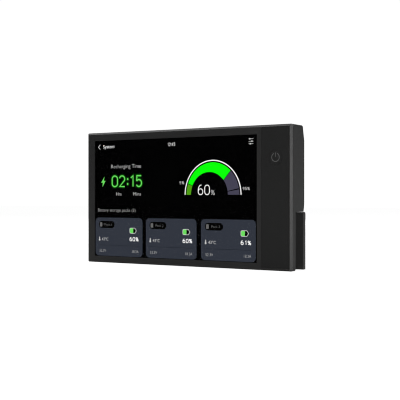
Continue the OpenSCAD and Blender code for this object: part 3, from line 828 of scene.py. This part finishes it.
@dataclass(frozen=True)
class Reading:
    """A row of figures drawn as lines of even width, in millimetres.

    Attributes:
        tone: name of its colour.
        places: each figure with its left and right edge.
        base: its base line.
        height: its height.
        width: width of the line that the edges allow for.
        layer: its heights over the display cell.
        brush: width of the line drawn, if it spreads past the edges.
    """

    tone: str
    places: tuple[tuple[str, float, float], ...]
    base: float
    height: float
    width: float
    layer: Layer = Layer.TEXT
    brush: float | None = None

    def draw(self, ink: dict[str, Drawing], shift: float = 0.0) -> None:
        """Adds the row to the drawing of its colour.

        Args:
            ink: the drawings by colour.
            shift: how far to the right it goes.
        """
        for figure, left, right in self.places:
            corner = np.array([left + shift + self.width / 2, self.base + self.width / 2])
            room = np.array([right - left - self.width, self.height - self.width])
            for path, closed in FIGURES[figure]:
                ink[self.tone].stroke(corner + path * room, self.brush or self.width, self.layer,
                                      closed)


LABELS = (
    Label("Battery storage packs (3)", "dim", 2.9, 46.4, 41.5, 2.8, -0.012),
    Label("System", "white", 9.0, 22.0, 100.8, 3.1, -0.004),
    Label("Recharging Time", "light", 18.4, 52.6, 81.9, 3.4, -0.012),
    Label("Hrs", "light", 24.5, 30.3, 56.5, 2.9, -0.006),
    Label("Mins", "light", 43.8, 52.5, 56.5, 2.9, -0.006),
)
CLOCK = Reading("white", (("1", 81.9, 82.8), ("2", 83.4, 85.0), (":", 85.5, 85.9),
                          ("4", 86.2, 87.9), ("5", 88.3, 89.9)), 100.7, 3.1, 0.38)
TIME_PLACES = (("0", 19.1, 26.3), ("2", 27.6, 34.6), (":", 36.6, 38.4), ("1", 40.6, 44.4),
               ("5", 46.8, 53.8))
TIME_BASE, TIME_HEIGHT, TIME_WIDTH = 64.3, 10.9, 1.0
TIME_RINGS = (("haze", Layer.HAZE, 3.6), ("halo", Layer.CARD, 2.0), ("leaf", Layer.TEXT, 1.0))
DIAL_READINGS = (
    Reading("white", (("6", 113.7, 119.2), ("0", 120.4, 125.9)), 56.8, 9.1, 0.75),
    Reading("light", (("%", 127.0, 130.9),), 56.8, 4.5, 0.42),
    Reading("light", (("5", 94.6, 96.3), ("%", 97.0, 99.4)), 66.4, 2.7, 0.36),
    Reading("light", (("9", 158.6, 160.2), ("5", 160.8, 162.4), ("%", 163.1, 165.2)), 61.0, 2.7,
            0.36),
)
DIAL_BANDS = (("moss", 160.6, 180.0), ("green", 47.9, 159.4), ("ash", 11.4, 46.9),
              ("ash", 0.0, 9.3))
CARD_LABELS = (
    Label("43°C", "light", 7.5, 15.0, 14.3, 2.7, -0.004),
    Label("52.3V", "dim", 4.7, 12.3, 3.6, 2.5, -0.01),
    Label("18.3A", "dim", 42.8, 49.8, 3.6, 2.5, -0.01),
)
SHARE_PLACES = ((39.7, 42.6), (43.1, 46.0), (46.5, 49.7))
SHARE_BASE, SHARE_HEIGHT, SHARE_WIDTH = 14.3, 3.9, 0.66
SLIM_ONE = 0.7


@dataclass
class Picture:
    """What the display shows: a header, the charging time, a gauge and three cards.

    Attributes:
        gain: light strength that makes up for what the glass holds back.
        gauge: centre of the gauge in millimetres.
        gauge_r: half width and height of the gauge.
        ring: inner radius of the gauge's outer ring, as a share.
        band_outer: outer radius of the gauge's band, as a share.
        band_inner: radius of the circle inside the band, as a share.
        band_shift: how far to the left that circle's centre is, as a share.
        card_left: left edge of each card.
        card_size: width and height of a card.
        card_r: radius of a card's corners.
        shares: charge that each card shows.
    """

    gain: float = 1.26
    gauge: tuple[float, float] = (128.7, 57.1)
    gauge_r: tuple[float, float] = (28.7, 30.4)
    ring: float = 0.968
    band_outer: float = 0.928
    band_inner: float = 0.652
    band_shift: float = 0.119
    card_left: tuple[float, ...] = (0.0, 58.1, 116.9)
    card_size: tuple[float, float] = (54.2, 35.8)
    card_r: float = 3.8
    shares: tuple[str, ...] = ("60%", "60%", "61%")

    def palette(self) -> dict[str, Drawing]:
        """Makes one empty drawing for each colour.

        Returns:
            The drawings by colour name.
        """
        colours = {
            "white": grey(240),
            "light": grey(188),
            "dim": grey(158),
            "faint": grey(96),
            "green": colour(10, 246, 10),
            "leaf": colour(104, 214, 92),
            "halo": colour(18, 106, 16),
            "haze": colour(5, 42, 5),
            "moss": colour(75, 150, 20),
            "ash": colour(66, 64, 80),
            "card": colour(48, 52, 61),
            "line": colour(32, 35, 42),
            "dark": grey(4),
        }
        return {
            name: Drawing("picture_" + name, Glow("picture_" + name, tone, self.gain))
            for name, tone in colours.items()
        }

    def header(self, ink: dict[str, Drawing]) -> None:
        """Draws the arrow, the clock and the settings mark: three lines with a knob each.

        Args:
            ink: the drawings by colour.
        """
        arrow = np.array([[5.6, 104.3], [3.4, 102.1], [5.6, 99.9]])
        ink["white"].stroke(arrow, 0.42, Layer.TEXT)
        CLOCK.draw(ink)
        line_left, line_right, line_width, knob_r = 164.2, 168.8, 0.36, 0.68
        for row, knob in ((104.4, 165.4), (102.3, 167.4), (100.2, 165.8)):
            line = np.array([[line_left, row], [line_right, row]])
            ink["light"].stroke(line, line_width, Layer.TEXT)
            ink["light"].prism(arc((knob, row), knob_r, 0, 345, 24), Layer.MARK)

    def charging(self, ink: dict[str, Drawing]) -> None:
        """Draws the bolt and the charging time, whose figures glow at their edges.

        Args:
            ink: the drawings by colour.
        """
        bolt = np.array([[8.1, 64.4], [11.8, 70.3], [9.7, 70.3], [10.6, 74.2], [6.6, 68.6],
                         [8.7, 68.6]])
        ink["leaf"].prism(bolt, Layer.TEXT)
        for tone, layer, brush in TIME_RINGS:
            Reading(tone, TIME_PLACES, TIME_BASE, TIME_HEIGHT, TIME_WIDTH, layer, brush).draw(ink)

    def dial(self, ink: dict[str, Drawing]) -> None:
        """Draws the half-ring gauge and its figures.

        Args:
            ink: the drawings by colour.
        """
        ink["white"].prism(self.band(0.0, 180.0, ring=True), Layer.TEXT)
        for tone, start, end in DIAL_BANDS:
            ink[tone].prism(self.band(start, end), Layer.TEXT)
        for reading in DIAL_READINGS:
            reading.draw(ink)

    def band(self, start: float, end: float, ring: bool = False) -> np.ndarray:
        """Outline of a part of the gauge.

        The outer edge is an arc about the gauge's centre, and so is the ring's inner edge. The
        band's inner edge is a circle of radius r whose centre is s to the left, so that the band
        grows to the right: its distance from the gauge's centre at angle t is
        -s cos t + root(r² - (s sin t)²). All are shares of the gauge's radius.

        Args:
            start: first angle in degrees.
            end: last angle.
            ring: whether it is the even outer ring instead of the growing band.

        Returns:
            Corners (n, 2) in millimetres, counter-clockwise.
        """
        angle = np.radians(np.linspace(start, end, max(4, int(end - start) // 2)))
        away = np.column_stack([np.cos(angle), np.sin(angle)])
        far = 1.0 if ring else self.band_outer
        near = (np.full(len(angle), self.ring) if ring
                else -self.band_shift * np.cos(angle)
                + np.sqrt(self.band_inner**2 - (self.band_shift * np.sin(angle))**2))
        shares = np.vstack([away * far, (away * near[:, None])[::-1]])
        return np.array(self.gauge) + shares * np.array(self.gauge_r)

    def card(self, ink: dict[str, Drawing], left: float, share: str, number: str) -> None:
        """Draws one battery card.

        Args:
            ink: the drawings by colour.
            left: the card's left edge.
            share: its charge.
            number: which battery it is.
        """
        wide, high = self.card_size
        right = left + wide
        ink["card"].prism(rounded(left, 0.0, right, high, self.card_r), Layer.CARD)
        ink["dark"].prism(rounded(left + 3.9, 26.1, left + 22.4, 32.6, 3.2), Layer.MARK)
        margin, row, width = 3.4, 10.0, 0.4
        divider = np.array([[left + margin, row], [right - margin, row]])
        ink["line"].stroke(divider, width, Layer.MARK)
        ink["faint"].prism(rounded(left + 5.2, 27.3, left + 8.0, 31.4, 0.8, 4), Layer.TEXT)
        Label("Pack " + number, "faint", 10.7, 19.2, 28.2, 2.2, -0.012).draw(ink, left)
        self.cell(ink, left + 39.0)
        places = tuple(
            (figure, low + SLIM_ONE * (figure == "1"), high - SLIM_ONE * (figure == "1"))
            for figure, (low, high) in zip(share, SHARE_PLACES)
        )
        Reading("white", places, SHARE_BASE, SHARE_HEIGHT, SHARE_WIDTH).draw(ink, left)
        self.thermometer(ink, left + 4.8)
        for label in CARD_LABELS:
            label.draw(ink, left)

    def cell(self, ink: dict[str, Drawing], left: float) -> None:
        """Draws a battery sign: a round-cornered outline with a pointed cap and a green fill.

        Args:
            ink: the drawings by colour.
            left: the sign's left edge.
        """
        low, high, middle = 21.7, 26.5, 24.1
        cap = [[left + 6.7, low], [left + 8.4, middle], [left + 6.7, high]]
        body = np.vstack([cap, rounded(left + 0.9, low, left + 5.6, high, 1.2, 6)[12:]])
        ink["dark"].prism(body, Layer.MARK)
        ink["leaf"].prism(rounded(left + 0.9, low, left + 4.8, high, 1.0, 4), Layer.TEXT)
        ink["light"].stroke(body, 0.5, Layer.RIM, closed=True)

    def thermometer(self, ink: dict[str, Drawing], centre: float) -> None:
        """Draws a thermometer: a round-ended tube on a bulb.

        Args:
            ink: the drawings by colour.
            centre: the middle of the tube.
        """
        bulb = arc((centre, 14.9), 0.95, 120, 420, 20)
        tube = arc((centre, 17.4), 0.48, 0, 180, 8)
        ink["light"].prism(np.vstack([bulb, tube]), Layer.TEXT)

    def build(self) -> None:
        """Draws the whole picture and makes its pieces."""
        ink = self.palette()
        self.header(ink)
        self.charging(ink)
        self.dial(ink)
        for label in LABELS:
            label.draw(ink)
        for index, (left, share) in enumerate(zip(self.card_left, self.shares)):
            self.card(ink, left, share, str(index + 1))
        for drawing in ink.values():
            drawing.build()


# ---- studio ----


@dataclass(frozen=True)
class Softbox:
    """A soft square light that looks at the console.

    Attributes:
        name: its name.
        place: its centre.
        size: its two sides.
        power: its power in watts.
        target: what it looks at.
    """

    name: str
    place: tuple[float, float, float]
    size: tuple[float, float]
    power: float
    target: tuple[float, float, float] = (0.0, 0.0, 0.06)

    def build(self) -> None:
        """Makes the light and turns it to its target."""
        lamp = bpy.data.lights.new(self.name, "AREA")
        lamp.shape = "RECTANGLE"
        lamp.size, lamp.size_y = self.size
        lamp.energy = self.power
        holder = bpy.data.objects.new(self.name, lamp)
        holder.location = self.place
        towards = Vector(self.target) - holder.location
        holder.rotation_euler = towards.to_track_quat("-Z", "Y").to_euler()
        bpy.context.scene.collection.objects.link(holder)


@dataclass
class Studio:
    """Pale floor, bright surroundings, soft lights and the camera.

    Attributes:
        backdrop: strength of the surroundings as the camera sees them.
        ambient: strength of the surroundings as the object sees them.
        half: half the floor's side.
        paint: how much light the floor gives back.
        floor_lit: the floor's own light as the object sees it.
        floor_seen: the floor's own light as the camera sees it.
        eye: the camera's place.
        turn: the camera's turn about the vertical, in degrees.
        tilt: the camera's tilt below the horizon, in degrees.
        lens: the camera's focal length in millimetres.
        sensor: the width of the camera's sensor in millimetres.
        clip: the camera's nearest and farthest distance.
        filter_width: width of the render's smoothing filter.
        lights: the soft lights.
    """

    backdrop: float = 1.02
    ambient: float = 0.15
    half: float = 4.0
    paint: float = 0.85
    floor_lit: float = 0.14
    floor_seen: float = 0.86
    eye: tuple[float, float, float] = (0.41335, -0.6561, 0.0615)
    turn: float = 31.55
    tilt: float = 0.2
    lens: float = 77.57
    sensor: float = 36.0
    clip: tuple[float, float] = (0.01, 50.0)
    filter_width: float = 1.1
    lights: tuple[Softbox, ...] = (
        Softbox("key_right", (0.68, -0.47, 0.10), (0.20, 0.19), 2.5),
        Softbox("key_front", (0.10, -1.10, 0.06), (0.5, 0.3), 0.9),
        Softbox("side_right", (1.20, 0.85, 0.16), (0.5, 0.6), 0.9),
        Softbox("top", (-0.65, 0.22, 1.05), (0.6, 0.6), 3.6),
        Softbox("fill_back", (-0.35, 1.40, 0.60), (1.0, 0.8), 5.0),
        Softbox("fill_left", (-1.30, 0.30, 0.60), (0.9, 0.9), 3.0),
    )

    def surroundings(self) -> None:
        """Makes the world: white to the eye, dimmer as a light."""
        world = bpy.data.worlds.new("studio")
        world.use_nodes = True
        nodes, links = world.node_tree.nodes, world.node_tree.links
        nodes.clear()
        seen, lit = nodes.new("ShaderNodeBackground"), nodes.new("ShaderNodeBackground")
        seen.inputs["Color"].default_value = lit.inputs["Color"].default_value = (1, 1, 1, 1)
        seen.inputs["Strength"].default_value = self.backdrop
        lit.inputs["Strength"].default_value = self.ambient
        path, mix = nodes.new("ShaderNodeLightPath"), nodes.new("ShaderNodeMixShader")
        out = nodes.new("ShaderNodeOutputWorld")
        links.new(path.outputs["Is Camera Ray"], mix.inputs[0])
        links.new(lit.outputs[0], mix.inputs[1])
        links.new(seen.outputs[0], mix.inputs[2])
        links.new(mix.outputs[0], out.inputs["Surface"])
        bpy.context.scene.world = world

    def floor(self) -> None:
        """Makes the floor, a pale plane that shows soft shadows only and glows a little."""
        h = self.half
        points = np.array([[-h, -h, 0], [h, -h, 0], [h, h, 0], [-h, h, 0]], float)
        mesh = bpy.data.meshes.new("studio_floor")
        mesh.from_pydata(points.tolist(), [], [(0, 1, 2, 3)])
        material = bpy.data.materials.new("studio_floor")
        material.use_nodes = True
        nodes, links = material.node_tree.nodes, material.node_tree.links
        nodes.clear()
        paint, lamp = nodes.new("ShaderNodeBsdfDiffuse"), nodes.new("ShaderNodeEmission")
        paint.inputs["Color"].default_value = (self.paint,) * 3 + (1,)
        path, add = nodes.new("ShaderNodeLightPath"), nodes.new("ShaderNodeAddShader")
        out = nodes.new("ShaderNodeOutputMaterial")
        share = nodes.new("ShaderNodeMapRange")
        share.inputs["To Min"].default_value = self.floor_lit
        share.inputs["To Max"].default_value = self.floor_seen
        links.new(path.outputs["Is Camera Ray"], share.inputs["Value"])
        links.new(share.outputs[0], lamp.inputs["Strength"])
        links.new(paint.outputs[0], add.inputs[0])
        links.new(lamp.outputs[0], add.inputs[1])
        links.new(add.outputs[0], out.inputs["Surface"])
        mesh.materials.append(material)
        plane = bpy.data.objects.new("studio_floor", mesh)
        bpy.context.scene.collection.objects.link(plane)

    def camera(self) -> None:
        """Makes the camera, at the height of the console's middle, before it and to its right."""
        lens = bpy.data.cameras.new("camera")
        lens.lens, lens.sensor_width = self.lens, self.sensor
        lens.clip_start, lens.clip_end = self.clip
        eye = bpy.data.objects.new("camera", lens)
        eye.location = self.eye
        eye.rotation_euler = (math.radians(90 - self.tilt), 0, math.radians(self.turn))
        bpy.context.scene.collection.objects.link(eye)
        bpy.context.scene.camera = eye

    def build(self) -> None:
        """Makes the whole studio."""
        self.surroundings()
        self.floor()
        for light in self.lights:
            light.build()
        self.camera()
        bpy.context.scene.view_settings.view_transform = "Standard"
        bpy.context.scene.cycles.filter_width = self.filter_width


def main() -> None:
    """Builds the finishes, the picture and the studio in turn."""
    logging.basicConfig(level=logging.INFO, format="%(message)s")
    Housing().build()
    Picture().build()
    Studio().build()


if __name__ == "__main__":
    main()
